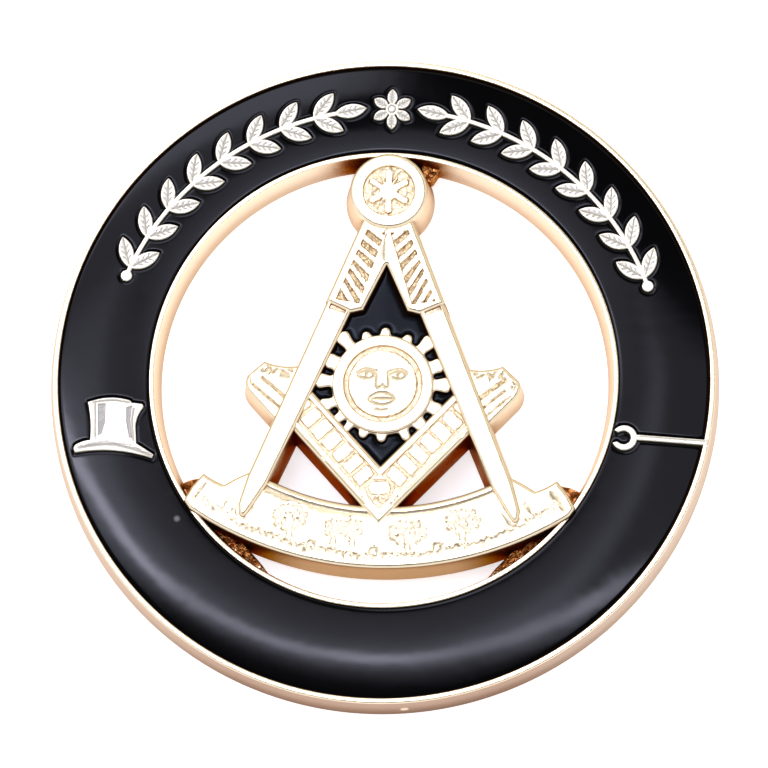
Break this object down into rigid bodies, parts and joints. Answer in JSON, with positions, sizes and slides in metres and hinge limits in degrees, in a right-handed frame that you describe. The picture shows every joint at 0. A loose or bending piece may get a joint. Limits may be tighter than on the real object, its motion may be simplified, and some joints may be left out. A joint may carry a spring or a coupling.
{
  "type": "masonic badge",
  "caption": "Round openwork badge lying flat: an enamelled metal ring around compasses, a square, a sun and a quadrant, with a hat and a cane in relief and a pin behind.",
  "frame": {"origin": "middle of the flat back, on the surface that the badge lies on", "axes": "+Z out of the face, +Y towards the compasses' head, +X to the right as seen from the face"},
  "size_m": [0.0764, 0.0764, 0.0054],
  "materials": {
    "gold": "die-cast zinc with polished pale gold plating; recessed grounds are granular and the rough webs bronze",
    "enamel": "glossy black soft enamel with a slightly domed surface",
    "pin_steel": "steel with thin pale gold plating, satin"
  },
  "bodies": {
    "root": {"casting": "gold", "enamel_band": "enamel", "enamel_kite": "enamel", "enamel_vee": "enamel", "enamel_pool_left": "enamel", "enamel_pool_right": "enamel", "enamel_pocket_1": "enamel", "enamel_pocket_2": "enamel", "enamel_pocket_3": "enamel", "enamel_pocket_4": "enamel", "enamel_pocket_5": "enamel", "enamel_pocket_6": "enamel", "enamel_pocket_7": "enamel", "enamel_pocket_8": "enamel", "brooch_pin": "pin_steel"}
  },
  "joints": []
}
